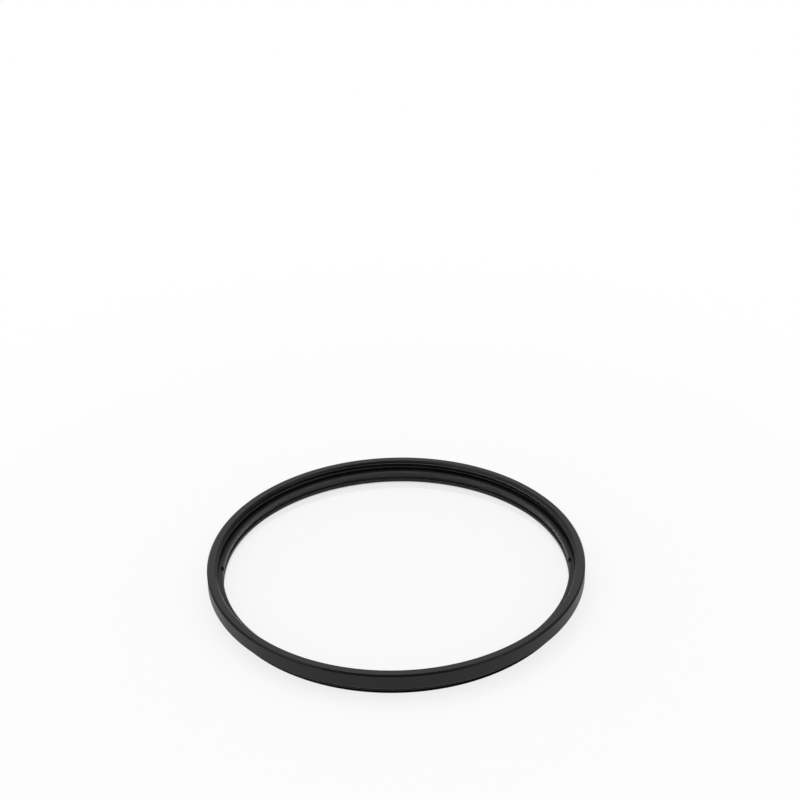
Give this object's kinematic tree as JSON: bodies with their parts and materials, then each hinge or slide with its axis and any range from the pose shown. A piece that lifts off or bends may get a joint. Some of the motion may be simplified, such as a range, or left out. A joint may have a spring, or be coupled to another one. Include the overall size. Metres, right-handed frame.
{
  "type": "screw-in uv filter for a camera lens",
  "caption": "Slim round lens filter: clear glass in a thin black threaded ring, male thread behind and female thread in front.",
  "frame": {"origin": "centre of the male thread's end face, on the optical axis", "axes": "+Z along the optical axis, out of the front of the filter; the rear screws into a lens along -Z"},
  "size_m": [0.0572, 0.0572, 0.0042],
  "materials": {
    "black_anodised": "satin black anodised, finely turned",
    "black_retainer": "matte black anodised",
    "coated_glass": "clear, polished and coated"
  },
  "bodies": {
    "root": {"filter_frame": "black_anodised", "retaining_ring": "black_retainer", "filter_glass": "coated_glass"}
  },
  "joints": []
}
